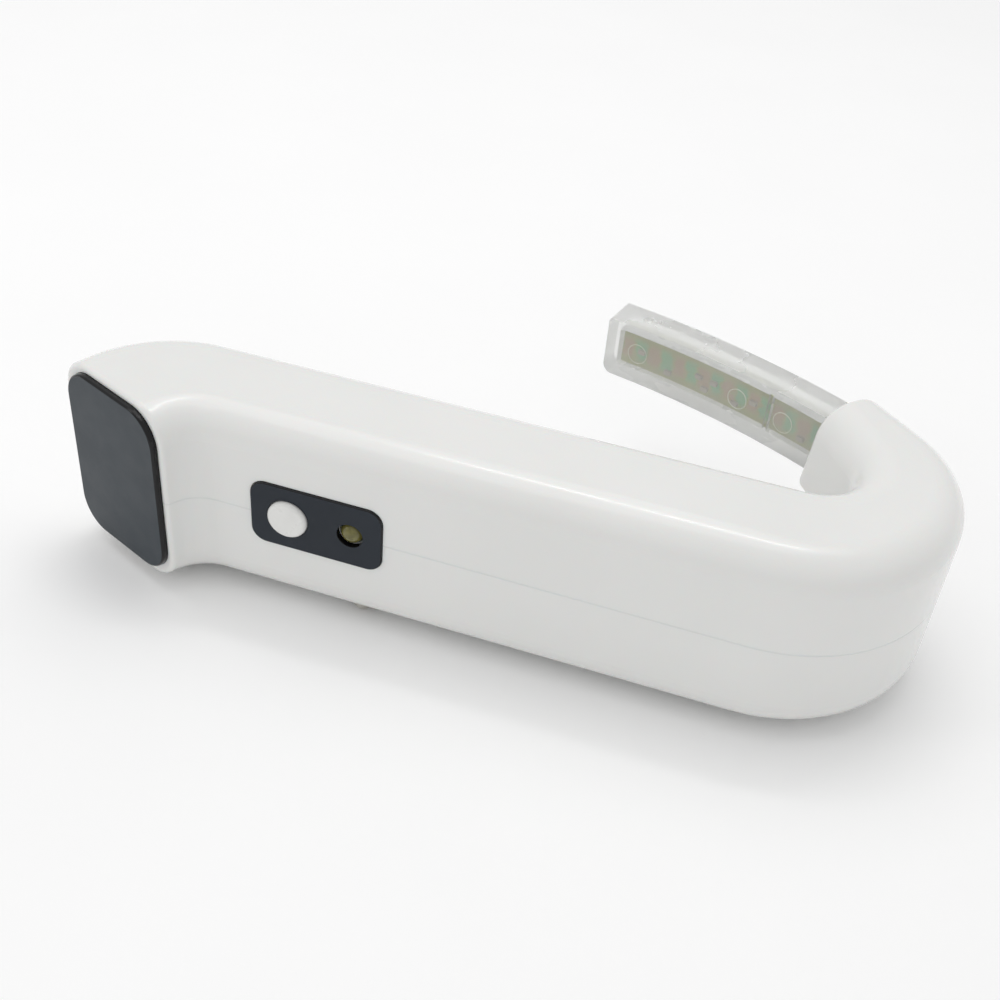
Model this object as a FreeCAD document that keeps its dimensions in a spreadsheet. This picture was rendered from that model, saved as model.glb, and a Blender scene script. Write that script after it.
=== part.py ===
import FreeCAD, Part
import math
import os
import Sketcher
from FreeCAD import Placement, Rotation, Vector

# Cordless hook-shaped intraoral lamp, in millimetres.
# The casing lies flat: X runs along the handle, Y from its front face to its back,
# and Z up. The bend and the arm with the clear blade are at the +X end.
doc = FreeCAD.newDocument("IntraoralLamp")

# ---------------------------------------------------------------- driving sizes
DIMENSIONS = {
    # where the casing's own zero stands: bend centre line, front face, underside
    "datum_x": 32.5, "datum_y": -24.25, "datum_z": 1.5,
    # casing
    "casing_height": 26.3, "casing_depth": 16.8, "casing_fillet": 4.5, "wall": 2.0,
    "seam_height": 13.2, "edge_round": 0.6, "overrun": 6.0,
    "bend_x": 1.6, "bend_radius": 20.9, "shoulder_radius": 18.0, "arm_angle": 137.1,
    "hook_x": 3.7, "hook_radius": 5.55, "hook_angle": 123.3, "arm_length": 9.5,
    "arm_overrun": 1.0, "arm_lean": 6.0, "arm_floor": 13.6, "duct_floor": 15.6,
    "ramp_start": -3.2, "ramp_slope": 65.0, "ramp_round": 4.0, "collar_round": 1.2,
    "heel_x": -70.96, "heel_radius": 16.75, "head_angle": 66.4, "head_x": -87.4,
    "head_y": 4.3, "head_width": 19.15, "throat_x": -65.0, "throat_radius": 5.0,
    # dark window on the head
    "window_width": 17.1, "window_height": 24.2, "window_corner": 4.3,
    "window_along": 0.3, "window_up": 0.25,
    "window_thick": 1.6, "window_proud": 0.8, "window_bevel": 0.3, "tape_thick": 0.15,
    "screen_opening_width": 12.4, "screen_opening_height": 18.0,
    # control panel on the front face
    "panel_x": -51.4, "panel_z": 13.6, "panel_width": 17.3, "panel_height": 9.2,
    "panel_corner": 2.0, "panel_thick": 0.8, "panel_proud": 0.3,
    "button_x": -55.1, "button_radius": 2.6, "button_proud": 0.9, "button_travel": 0.5,
    "button_gap": 0.1, "button_hole": 2.7, "button_flange": 3.6, "button_round": 0.6,
    "button_collar": 0.8, "button_post": 0.4, "button_post_radius": 1.2,
    "stem_radius": 1.5, "stem_length": 1.9, "stem_well_radius": 1.6, "stem_well_deep": 1.7,
    "switch_side": 6.0, "switch_deep": 3.5,
    "lamp_x": -46.9, "lamp_radius": 1.6, "lamp_hole": 1.7, "lamp_dome_y": 1.1,
    "lamp_rim_y": 4.0, "lamp_rim_thick": 1.0, "lamp_rim_wide": 0.35,
    # main board, standing behind the front face
    "board_x": -65.0, "board_z": 3.2, "board_length": 29.5, "board_tall": 18.0,
    "board_thick": 1.0, "board_y": 7.7,
    # cell
    "cell_x": -27.5, "cell_y": 4.2, "cell_z": 3.2, "cell_length": 37.0,
    "cell_thick": 8.0, "cell_tall": 20.0,
    # charging studs on the underside
    "stud_x": -46.7, "stud_front_y": 4.0, "stud_pitch": 7.0, "stud_radius": 1.4,
    "stud_reach": 1.5, "flange_radius": 1.65, "flange_thick": 0.6, "gasket_thick": 1.2,
    # case screws
    "screw_radius": 1.0, "screw_head_radius": 1.8, "screw_length": 13.0, "screw_seat": 6.0,
    "screw_head_thick": 1.6, "cross_length": 2.4, "cross_width": 0.5, "cross_depth": 0.9,
    "boss_radius": 2.8, "counterbore": 2.0,
    # clear blade
    "blade_centre_x": -53.4, "blade_centre_y": -64.5, "blade_radius": 117.0,
    "blade_thick": 5.4, "blade_low": 15.1, "blade_high": 23.8, "blade_start": 57.9,
    "blade_end": 77.0, "blade_wall": 1.2, "cover_thick": 1.3, "blade_round": 1.4, "blade_fit": 0.05,
}

sheet = doc.addObject("Spreadsheet::Sheet", "Sizes")
for row, (alias, size) in enumerate(DIMENSIONS.items(), start=1):
    sheet.set("A%d" % row, alias)
    sheet.set("B%d" % row, str(size))
    sheet.setAlias("B%d" % row, alias)
doc.recompute()


def cell(alias):
    """The value of one driving dimension."""
    return float(getattr(sheet, alias))


def bind(thing, prop, formula):
    """Bind a property to a formula whose words are aliases of the sheet."""
    words = []
    for word in formula.split():
        words.append("Sizes." + word if word in DIMENSIONS else word)
    thing.setExpression(prop, " ".join(words))


DATUM = ("datum_x", "datum_y", "datum_z")
DATUM_POINT = Vector(*(cell(alias) for alias in DATUM))
pieces = []


def piece(thing, label):
    """Name an object as one exported sub-part."""
    thing.Label = label
    pieces.append(thing)
    return thing


def place(thing, corner):
    """Put an object's base at formulas counted from the casing's own zero."""
    for axis, datum, formula in zip("xyz", DATUM, corner):
        bind(thing, ".Placement.Base." + axis, datum + " + " + str(formula))


def turn(thing, axis, degrees):
    thing.Placement.Rotation = Rotation(Vector(*axis), degrees)


def box(name, corner, size):
    """A block from its low corner and its three sizes."""
    block = doc.addObject("Part::Box", name)
    for prop, formula in zip(("Length", "Width", "Height"), size):
        bind(block, prop, str(formula))
    place(block, corner)
    return block


AXIS_TURN = {"z": ((0, 0, 1), 0), "y": ((1, 0, 0), -90), "x": ((0, 1, 0), 90)}


def rod(name, base, radius, length, along="z"):
    """A round bar from the middle of its base, along one of the axes."""
    bar = doc.addObject("Part::Cylinder", name)
    bind(bar, "Radius", str(radius))
    bind(bar, "Height", str(length))
    turn(bar, *AXIS_TURN[along])
    place(bar, base)
    return bar


def ball(name, centre, radius):
    sphere = doc.addObject("Part::Sphere", name)
    bind(sphere, "Radius", str(radius))
    place(sphere, centre)
    return sphere


def join(name, parts):
    fusion = doc.addObject("Part::MultiFuse", name)
    fusion.Shapes = parts
    return fusion


def cut(name, base, tools):
    """Base without every tool."""
    result = doc.addObject("Part::Cut", name)
    result.Base = base
    result.Tool = tools[0] if len(tools) == 1 else join(name + "_tools", tools)
    return result


def common(name, first, second):
    result = doc.addObject("Part::Common", name)
    result.Base = first
    result.Tool = second
    return result


# ---------------------------------------------------------------- casing outline
def polar(degrees):
    return Vector(math.cos(math.radians(degrees)), math.sin(math.radians(degrees)), 0)


def casing_sketch(name, inset):
    """The hook outline seen from above, moved inwards by inset (a sheet formula)."""
    shift = 0.0 if inset == "0" else cell(inset)
    arm, hook, head = cell("arm_angle"), cell("hook_angle"), cell("head_angle")
    overrun = cell("overrun")
    centre_a = Vector(cell("bend_x"), cell("bend_radius"), 0)
    radius_a = cell("bend_radius") - shift
    radius_b = cell("shoulder_radius") - shift
    centre_b = centre_a + Vector(cell("bend_radius") - cell("shoulder_radius"), 0, 0)
    arm_start = centre_b + polar(arm - 90) * radius_b
    reach = cell("arm_length") + cell("arm_overrun")
    arm_tip = arm_start + polar(arm) * reach
    radius_h = cell("hook_radius") + shift
    centre_h = Vector(cell("hook_x"), cell("casing_depth") + cell("hook_radius"), 0)
    hook_start = centre_h + polar(hook - 90) * radius_h
    # the inner side line runs until it meets the arm's end line
    span = (arm_tip - hook_start).dot(polar(arm)) / polar(hook).dot(polar(arm))
    hook_tip = hook_start + polar(hook) * span
    heel_y = cell("casing_depth") - cell("heel_radius")
    centre_k = Vector(cell("heel_x"), heel_y, 0)
    radius_k = cell("heel_radius") - shift
    heel_end = centre_k + polar(90 + head) * radius_k
    outward = polar(180 + head)
    side_length = (Vector(cell("head_x"), cell("head_y"), 0) - heel_end).dot(outward) + overrun
    corner_back = heel_end + outward * side_length
    centre_t = Vector(cell("throat_x"), -cell("throat_radius"), 0)
    radius_t = cell("throat_radius") + shift
    throat_start = centre_t + polar(90 + head) * radius_t
    across = polar(head - 90)
    corner_front = corner_back + across * (throat_start - corner_back).dot(across)

    sketch = doc.addObject("Sketcher::SketchObject", name)

    def line(a, b):
        return sketch.addGeometry(Part.LineSegment(a, b), False)

    def arc(centre, radius, low, high):
        circle = Part.Circle(centre, Vector(0, 0, 1), radius)
        return sketch.addGeometry(Part.ArcOfCircle(circle, math.radians(low), math.radians(high)), False)

    front = line(Vector(centre_t.x, shift, 0), Vector(centre_a.x, shift, 0))
    bend = arc(centre_a, radius_a, -90, 0)
    shoulder = arc(centre_b, radius_b, 0, arm - 90)
    arm_side = line(arm_start, arm_tip)
    arm_end = line(arm_tip, hook_tip)
    hook_side = line(hook_tip, hook_start)
    hook_arc = arc(centre_h, radius_h, -90, hook - 90)
    back_y = cell("casing_depth") - shift
    back = line(Vector(centre_h.x, back_y, 0), Vector(centre_k.x, back_y, 0))
    heel = arc(centre_k, radius_k, 90, 90 + head)
    head_side = line(heel_end, corner_back)
    head_end = line(corner_back, corner_front)
    throat_side = line(corner_front, throat_start)
    throat = arc(centre_t, radius_t, 90, 90 + head)

    def hold(kind, *arguments):
        return sketch.addConstraint(Sketcher.Constraint(kind, *arguments))

    START, END, CENTRE = 1, 2, 3
    hold("Tangent", front, END, bend, START)
    hold("Tangent", bend, END, shoulder, START)
    hold("Tangent", shoulder, END, arm_side, START)
    hold("Perpendicular", arm_side, END, arm_end, START)
    hold("Coincident", arm_end, END, hook_side, START)
    hold("Tangent", hook_side, END, hook_arc, END)
    hold("Tangent", hook_arc, START, back, START)
    hold("Tangent", back, END, heel, START)
    hold("Tangent", heel, END, head_side, START)
    hold("Perpendicular", head_side, END, head_end, START)
    hold("Perpendicular", head_end, END, throat_side, START)
    hold("Tangent", throat_side, END, throat, END)
    hold("Tangent", throat, START, front, START)
    hold("Horizontal", front)
    hold("Horizontal", back)

    def size(kind, formula, value, *arguments):
        number = hold(kind, *arguments, value)
        bind(sketch, "Constraints[%d]" % number, formula)

    ORIGIN = -1
    size("Radius", "bend_radius - " + inset, radius_a, bend)
    size("Radius", "shoulder_radius - " + inset, radius_b, shoulder)
    size("Radius", "hook_radius + " + inset, radius_h, hook_arc)
    size("Radius", "heel_radius - " + inset, radius_k, heel)
    size("Radius", "throat_radius + " + inset, radius_t, throat)
    size("DistanceX", "bend_x", centre_a.x, ORIGIN, START, bend, CENTRE)
    size("DistanceY", "bend_radius", centre_a.y, ORIGIN, START, bend, CENTRE)
    size("DistanceY", "bend_radius", centre_a.y, ORIGIN, START, shoulder, START)
    size("DistanceX", "hook_x", centre_h.x, ORIGIN, START, hook_arc, CENTRE)
    size("DistanceY", "casing_depth + hook_radius", centre_h.y, ORIGIN, START, hook_arc, CENTRE)
    size("DistanceX", "heel_x", centre_k.x, ORIGIN, START, heel, CENTRE)
    size("DistanceX", "throat_x", centre_t.x, ORIGIN, START, throat, CENTRE)
    size("Distance", "arm_length + arm_overrun", reach, arm_side)
    number = hold("Angle", ORIGIN, START, arm_side, START, math.radians(arm))
    sketch.setExpression("Constraints[%d]" % number, "Sizes.arm_angle * 1 deg")
    number = hold("Angle", ORIGIN, START, hook_side, END, math.radians(hook))
    sketch.setExpression("Constraints[%d]" % number, "Sizes.hook_angle * 1 deg")
    hold("Distance", head_side, side_length)
    number = hold("Angle", ORIGIN, START, head_side, START, math.radians(head - 180))
    sketch.setExpression("Constraints[%d]" % number, "(Sizes.head_angle - 180) * 1 deg")
    return sketch


def prism(name, sketch, low, height):
    """A sketch raised into a solid that starts at height low above the casing's zero."""
    raised = doc.addObject("Part::Extrusion", name)
    raised.Base = sketch
    raised.DirMode = "Custom"
    raised.Dir = Vector(0, 0, 1)
    raised.Solid = True
    bind(raised, "LengthFwd", height)
    place(raised, ("0", "0", low))
    return raised


def ramp(name, floor, shift):
    """The block that is cut away under the arm, shift thicker than the outside's."""
    arm = cell("arm_angle")
    across = polar(arm - 90)
    bend_middle = Vector(cell("bend_x") + cell("bend_radius"), cell("bend_radius"), 0)
    foot = bend_middle + (across - Vector(1, 0, 0)) * cell("shoulder_radius")
    slope, bend = math.radians(cell("ramp_slope")), cell("ramp_round")
    start, top = cell("ramp_start") - shift / math.sin(slope), cell(floor)
    below, far, width, outside = 5.0, 30.0, 24.0, 7.0
    tangent = bend * math.tan(slope / 2)
    uphill = Vector(math.cos(slope), math.sin(slope), 0)
    low = Vector(start + tangent, 0, 0)
    high = low + uphill * (top / math.sin(slope))
    forward = Vector(1, 0, 0)
    lift = Vector(math.cos(slope / 4), math.sin(slope / 4), 0) * (2 * bend * math.sin(slope / 4))
    first = Part.Arc(low - forward * tangent, low - forward * tangent + lift, low + uphill * tangent)
    steep = Part.makeLine(low + uphill * tangent, high - uphill * tangent)
    crest = Vector(math.cos(slope * 3 / 4), math.sin(slope * 3 / 4), 0) * (2 * bend * math.sin(slope / 4))
    second = Part.Arc(high - uphill * tangent, high - uphill * tangent + crest, high + forward * tangent)
    rim = [high + forward * tangent, Vector(far, top, 0), Vector(far, -below, 0)]
    rim += [Vector(start, -below, 0), Vector(start, 0, 0)]
    edges = [first.toShape(), steep, second.toShape()]
    edges += [Part.makeLine(a, b) for a, b in zip(rim, rim[1:])]
    block = Part.Face(Part.Wire(edges)).extrude(Vector(0, 0, -width))
    # stand the profile up along the arm and push it across the arm
    stand = Rotation(polar(arm), Vector(0, 0, 1), across, "XYZ")
    block.Placement = Placement(DATUM_POINT + foot + across * outside, stand)
    feature = doc.addObject("Part::Feature", name)
    feature.Shape = block
    return feature


def half_space(name, point, normal):
    """A large block on the outer side of a plane through a point."""
    size = 60.0
    block = doc.addObject("Part::Box", name)
    block.Length = block.Width = block.Height = size
    level = Vector(-normal.y, normal.x, 0)
    facing = Rotation(normal, level, Vector(0, 0, 1), "XYZ")
    centred = Placement(Vector(0, -size / 2, -size / 2), Rotation())
    block.Placement = Placement(point, facing) * centred
    return block


HEAD_OUT = polar(180 + cell("head_angle"))
HEAD_ALONG = polar(cell("head_angle") - 90)
HEAD_CORNER = Vector(cell("head_x"), cell("head_y"), 0)
HEAD_CENTRE = HEAD_CORNER + HEAD_ALONG * (cell("head_width") / 2)
ARM_OUT = polar(cell("arm_angle"))
ARM_END = (
    Vector(cell("bend_x") + cell("bend_radius") - cell("shoulder_radius"), cell("bend_radius"), 0)
    + polar(cell("arm_angle") - 90) * cell("shoulder_radius")
    + ARM_OUT * cell("arm_length")
)
ARM_LEAN = math.radians(cell("arm_lean"))
UP = Vector(0, 0, 1)
# the two cut-off planes: a point of each and its outward direction; the arm's leans, so
# that its lower edge reaches further than its upper one
HEAD_PLANE = (DATUM_POINT + HEAD_CORNER + UP * (cell("casing_height") / 2), HEAD_OUT)
ARM_PLANE = (
    DATUM_POINT + ARM_END + UP * ((cell("arm_floor") + cell("casing_height")) / 2),
    ARM_OUT * math.cos(ARM_LEAN) + UP * math.sin(ARM_LEAN),
)


def side_edges(shape, ends, near=0.05):
    """Numbers of the edges that run along the hook, above and below."""
    found = []
    for number, edge in enumerate(shape.Edges, start=1):
        first, last = edge.valueAt(edge.FirstParameter), edge.valueAt(edge.LastParameter)
        middle = edge.valueAt((edge.FirstParameter + edge.LastParameter) / 2)
        upright = abs(first.x - last.x) + abs(first.y - last.y) < near
        in_end = False
        for origin, outward in ends:
            spot = origin + Vector(cell("datum_x"), cell("datum_y"), 0)
            in_end = in_end or all(abs((p - spot).dot(outward)) < near for p in (first, middle, last))
        if not (upright or in_end):
            found.append(number)
    return found


def fillet(name, base, numbers, radius):
    """Round the numbered edges of base to one radius."""
    soft = doc.addObject("Part::Fillet", name)
    soft.Base = base
    soft.Edges = [(number, radius, radius) for number in numbers]
    return soft


def hook_form(name, inset, floor):
    """The whole hook, filleted, hollowed under the arm and cut off at head and arm."""
    shift = 0.0 if inset == "0" else cell(inset)
    outline = casing_sketch(name + "_outline", inset)
    body = prism(name + "_block", outline, inset, "casing_height - " + inset + " - " + inset)
    doc.recompute()
    ends = [
        (HEAD_CORNER + HEAD_OUT * cell("overrun"), HEAD_OUT),
        (ARM_END + ARM_OUT * cell("arm_overrun"), ARM_OUT),
    ]
    soft = fillet(name + "_soft", body, side_edges(body.Shape, ends), cell("casing_fillet") - shift)
    cleared = cut(name + "_hook", soft, [ramp(name + "_ramp", floor, shift)])
    blocks = [
        half_space("%s_%s_cut" % (name, end), point - normal * shift, normal)
        for end, (point, normal) in (("head", HEAD_PLANE), ("arm", ARM_PLANE))
    ]
    return cut(name, cleared, blocks)


# ---------------------------------------------------------------- plates on the faces
def plate_sketch(body, name, width, height, across, along):
    """A centred rectangle on one of the body's own origin planes."""
    sketch = body.newObject("Sketcher::SketchObject", name)
    plane = [f for f in body.Origin.OriginFeatures if f.Role == "XY_Plane"][0]
    sketch.AttachmentSupport = [(plane, "")]
    sketch.MapMode = "FlatFace"
    half_w, half_h = across / 2, along / 2
    corners = [Vector(-half_w, -half_h, 0), Vector(half_w, -half_h, 0)]
    corners += [Vector(half_w, half_h, 0), Vector(-half_w, half_h, 0)]
    for first, second in zip(corners, corners[1:] + corners[:1]):
        sketch.addGeometry(Part.LineSegment(first, second), False)
    for side in range(4):
        sketch.addConstraint(Sketcher.Constraint("Coincident", side, 2, (side + 1) % 4, 1))
    for side in (0, 2):
        sketch.addConstraint(Sketcher.Constraint("Horizontal", side))
        sketch.addConstraint(Sketcher.Constraint("Vertical", side + 1))
    sketch.addConstraint(Sketcher.Constraint("Symmetric", 0, 1, 1, 2, -1, 1))
    number = sketch.addConstraint(Sketcher.Constraint("Distance", 0, across))
    bind(sketch, "Constraints[%d]" % number, width)
    number = sketch.addConstraint(Sketcher.Constraint("Distance", 1, along))
    bind(sketch, "Constraints[%d]" % number, height)
    return sketch


def plate(name, width, height, thick, corner, bevel=None):
    """A rounded plate, padded from its own XY plane, with a softened front rim."""
    body = doc.addObject("PartDesign::Body", name)
    across, along = value(width), value(height)
    sketch = plate_sketch(body, name + "_outline", width, height, across, along)
    pad = body.newObject("PartDesign::Pad", name + "_pad")
    pad.Profile = sketch
    bind(pad, "Length", thick)
    sketch.Visibility = False
    doc.recompute()
    upright = [
        "Edge%d" % n for n, e in enumerate(pad.Shape.Edges, 1)
        if abs(e.Vertexes[0].Z - e.Vertexes[-1].Z) > 0.01
    ]
    corners = body.newObject("PartDesign::Fillet", name + "_corners")
    corners.Base = (pad, upright)
    bind(corners, "Radius", corner)
    doc.recompute()
    if bevel:
        front = corners.Shape.BoundBox.ZMax
        rim = [
            "Edge%d" % n for n, e in enumerate(corners.Shape.Edges, 1)
            if e.BoundBox.ZMin > front - 0.001
        ]
        soft = body.newObject("PartDesign::Fillet", name + "_rim")
        soft.Base = (corners, rim)
        bind(soft, "Radius", bevel)
        doc.recompute()
    return body


def value(formula):
    """The number that a sheet formula stands for."""
    words = [str(cell(w)) if w in DIMENSIONS else w for w in str(formula).split()]
    total, sign = 0.0, 1.0
    for word in words:
        if word in "+-":
            sign = 1.0 if word == "+" else -1.0
        else:
            total += sign * float(word)
    return total


HEAD_FRAME = Placement(
    DATUM_POINT + HEAD_CENTRE + Vector(0, 0, cell("casing_height") / 2),
    Rotation(HEAD_ALONG, Vector(0, 0, 1), HEAD_OUT, "XYZ"),
)
PANEL_FRAME = Placement(
    DATUM_POINT + Vector(cell("panel_x"), 0, cell("panel_z")),
    Rotation(Vector(1, 0, 0), Vector(0, 0, 1), Vector(0, -1, 0), "XYZ"),
)


def on_frame(thing, frame, x=0.0, y=0.0, out=0.0):
    """Set a thing on a face: x along it, y up it and out away from the casing."""
    thing.Placement = frame * Placement(Vector(x, y, out), Rotation())
    return thing


def centred_box(name, frame, width, height, thick, x=0.0, y=0.0, out=0.0):
    """A block lying on a face's own frame, centred on x and y, its back at out."""
    block = doc.addObject("Part::Box", name)
    block.Length, block.Width, block.Height = width, height, thick
    return on_frame(block, frame, x - width / 2, y - height / 2, out)


# ---------------------------------------------------------------- the two shells
def end_edges(shape, point, normal, near=0.02):
    """Numbers of the edges that lie in one end plane of the hook."""
    return [
        number for number, edge in enumerate(shape.Edges, start=1)
        if all(abs((p - point).dot(normal)) < near for p in (
            edge.valueAt(edge.FirstParameter), edge.valueAt(edge.LastParameter),
            edge.valueAt((edge.FirstParameter + edge.LastParameter) / 2)))
    ]


hook = hook_form("hook", "0", "arm_floor")
doc.recompute()
outer = doc.addObject("Part::Fillet", "outer")
outer.Base = hook
outer.Edges = [
    (number, radius, radius)
    for plane, radius in ((HEAD_PLANE, cell("edge_round")), (ARM_PLANE, cell("collar_round")))
    for number in end_edges(hook.Shape, *plane)
]
cavity = hook_form("cavity", "wall", "duct_floor")

window_proud, window_thick = cell("window_proud"), cell("window_thick")
window_spot = (cell("window_along"), cell("window_up"))
window = plate("end_window", "window_width", "window_height", "window_thick", "window_corner",
               "window_bevel")
on_frame(window, HEAD_FRAME, *window_spot, out=window_proud - window_thick)
tape = plate("window_tape_blank", "window_width - 1", "window_height - 1", "tape_thick",
             "window_corner - 0.5")
on_frame(tape, HEAD_FRAME, *window_spot, out=window_proud - window_thick - cell("tape_thick"))
screen_hole = centred_box("screen_hole", HEAD_FRAME, cell("screen_opening_width"),
                          cell("screen_opening_height"), 8.0, out=-7.0)
window_tape = cut("window_tape_ring", tape, [screen_hole])
piece(window, "end_window")
piece(window_tape, "end_window_tape")

panel_proud, panel_thick = cell("panel_proud"), cell("panel_thick")
panel_plate = plate("panel_plate", "panel_width", "panel_height", "panel_thick", "panel_corner",
                    "window_bevel - 0.1")
on_frame(panel_plate, PANEL_FRAME, out=panel_proud - panel_thick)
panel_tape = plate("panel_tape", "panel_width - 1", "panel_height - 1", "tape_thick",
                   "panel_corner - 0.5")
on_frame(panel_tape, PANEL_FRAME, out=panel_proud - panel_thick - cell("tape_thick"))


def front_bore(name, at_x, radius):
    return rod(name, (at_x, "-2", "panel_z"), radius, "6", along="y")


panel = cut("panel", panel_plate, [front_bore("panel_button_hole", "button_x", "button_hole"),
                                   front_bore("panel_lamp_hole", "lamp_x", "lamp_hole")])
panel_film = cut("panel_film", panel_tape, [
    front_bore("film_button_hole", "button_x", "button_hole + 0.3"),
    front_bore("film_lamp_hole", "lamp_x", "lamp_hole + 0.3")])
piece(panel, "control_panel")
piece(panel_film, "control_panel_tape")

window_recess = plate("window_recess", "window_width + 0.1", "window_height + 0.1", "5",
                      "window_corner + 0.05")
on_frame(window_recess, HEAD_FRAME, *window_spot, out=window_proud - window_thick - cell("tape_thick"))
panel_recess = plate("panel_recess", "panel_width + 0.1", "panel_height + 0.1", "5",
                     "panel_corner + 0.05")
on_frame(panel_recess, PANEL_FRAME, out=panel_proud - panel_thick - cell("tape_thick"))

BOSSES = [(-73.0, 9.5), (-32.0, 10.5), (15.5, 18.0)]
STUDS = ["stud_front_y", "stud_front_y + stud_pitch"]


def boss_tools(part, base, radius, length):
    """One vertical bar at each boss."""
    return [
        rod("%s_%d" % (part, n), (x, y, base), radius, length)
        for n, (x, y) in enumerate(BOSSES, start=1)
    ]


def blade_sector(name, inner, outer_edge, low, high, start, end):
    """A bar bent round the blade's centre, between two radii, heights and angles."""
    centre = ("blade_centre_x", "blade_centre_y", low)
    rings = []
    for part, radius in (("out", outer_edge), ("in", inner)):
        ring = rod(name + "_" + part, centre, radius, "%.3f" % (value(high) - value(low)))
        ring.Angle = end - start
        ring.Placement.Rotation = Rotation(Vector(0, 0, 1), start)
        rings.append(ring)
    return cut(name, rings[0], [rings[1]])


blade_socket = blade_sector(
    "blade_socket", "blade_radius - blade_thick / 2 - blade_fit",
    "blade_radius + blade_thick / 2 + blade_fit", "blade_low - blade_fit", "blade_high + blade_fit",
    cell("blade_start") - 0.05, cell("blade_end"))

above = box("above_seam", ("-100", "-20", "seam_height"), ("150", "100", "40"))
below = box("below_seam", ("-100", "-20", "seam_height - 40"), ("150", "100", "40"))


def shell_tools(part):
    """What is taken out of both halves of the casing."""
    tools = [cavity, window_recess, panel_recess, screen_hole, blade_socket]
    tools.append(front_bore(part + "_button_bore", "button_x", "button_hole"))
    tools.append(front_bore(part + "_lamp_bore", "lamp_x", "lamp_hole"))
    return tools


upper_bosses = boss_tools("upper_boss", "seam_height", "boss_radius", "casing_height - seam_height - 1")
upper_pilots = boss_tools("upper_pilot", "seam_height - 1", "screw_radius", "7.5")
lower_bosses = boss_tools("lower_boss", "1", "boss_radius", "seam_height - 1")
lower_bores = boss_tools("lower_bore", "-1", "screw_radius + 0.1", "seam_height + 2")
lower_sinks = boss_tools("lower_sink", "-1", "counterbore", "screw_seat + 1")

upper_half = cut("upper_half", common("upper_block", outer, above), shell_tools("upper"))
upper = cut("upper", join("upper_with_bosses", [upper_half] + upper_bosses), upper_pilots)
piece(upper, "upper_shell")

stud_bores = [
    rod("stud_bore_%d" % n, ("stud_x", y, "-2"), "stud_radius + 0.05", "6")
    for n, y in enumerate(STUDS, start=1)
]
lower_half = cut("lower_half", common("lower_block", outer, below), shell_tools("lower"))
lower = cut("lower", join("lower_with_bosses", [lower_half] + lower_bosses),
            lower_bores + lower_sinks + stud_bores)
piece(lower, "lower_shell")

screws = []
for n, (x, y) in enumerate(BOSSES, start=1):
    head = rod("screw_head_%d" % n, (x, y, "screw_seat - screw_head_thick"), "screw_head_radius",
               "screw_head_thick")
    shank = rod("screw_shank_%d" % n, (x, y, "screw_seat - 0.2"), "screw_radius", "screw_length + 0.2")
    cross = [
        box("screw_slot_%s_%d" % (part, n),
            (x - wide / 2, y - deep / 2, "screw_seat - screw_head_thick - 0.1"),
            (wide, deep, "cross_depth"))
        for part, wide, deep in (("a", cell("cross_length"), cell("cross_width")),
                                 ("b", cell("cross_width"), cell("cross_length")))
    ]
    screws.append(cut("screw_%d" % n, join("screw_blank_%d" % n, [head, shank]), cross))
piece(join("screws", screws), "case_screws")


# ---------------------------------------------------------------- button and its switch
# everything here points along +Y, into the casing; rest travel is taken up by button_gap
cap = rod("button_cap", ("button_x", "0 - button_proud", "panel_z"), "button_radius",
          "button_proud + wall + button_gap", along="y")
collar = rod("button_collar", ("button_x", "wall + button_gap", "panel_z"), "button_flange",
             "button_collar", along="y")
post = rod("button_post", ("button_x", "wall + button_gap + button_collar", "panel_z"),
           "button_post_radius", "button_post", along="y")
button_blank = join("button_blank", [cap, collar, post])
doc.recompute()
cap_front = DATUM_POINT.y - cell("button_proud")
rim = [
    n for n, e in enumerate(button_blank.Shape.Edges, 1) if e.BoundBox.YMax < cap_front + 0.001
]
button = fillet("button", button_blank, rim, cell("button_round"))
piece(button, "power_button")

stem_tip = "wall + button_gap + button_collar + button_post"
stem = rod("stem", ("button_x", stem_tip, "panel_z"), "stem_radius", "stem_length", along="y")
piece(stem, "tact_switch_stem")
switch_front = "board_y - switch_deep"
switch_block = box(
    "switch_block", ("button_x - switch_side / 2", switch_front, "panel_z - switch_side / 2"),
    ("switch_side", "switch_deep", "switch_side"))
stem_well = rod("stem_well", ("button_x", switch_front + " - 1", "panel_z"), "stem_well_radius",
                "stem_well_deep + 1", along="y")
switch = cut("switch", switch_block, [stem_well])
piece(switch, "tact_switch_body")

# ---------------------------------------------------------------- indicator lamp
lens = rod("lamp_lens", ("lamp_x", "lamp_dome_y", "panel_z"), "lamp_radius",
           "lamp_rim_y + lamp_rim_thick / 2 - lamp_dome_y", along="y")
dome = ball("lamp_dome", ("lamp_x", "lamp_dome_y", "panel_z"), "lamp_radius")
lamp_rim = rod("lamp_rim", ("lamp_x", "lamp_rim_y", "panel_z"), "lamp_radius + lamp_rim_wide",
               "lamp_rim_thick", along="y")
piece(join("lamp", [lens, dome, lamp_rim]), "indicator_led")
LEG_PITCH, LEG_SIDE, LEG_START = 2.54, 0.5, 5.0
lamp_legs = [
    box("lamp_leg_%d" % n,
        ("lamp_x + %.2f" % (side * LEG_PITCH / 2 - LEG_SIDE / 2), LEG_START,
         "panel_z - %.2f" % (LEG_SIDE / 2)),
        (LEG_SIDE, "board_y - %.1f" % LEG_START, LEG_SIDE))
    for n, side in enumerate((-1, 1), start=1)
]
piece(join("lamp_legs", lamp_legs), "indicator_led_legs")

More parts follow.
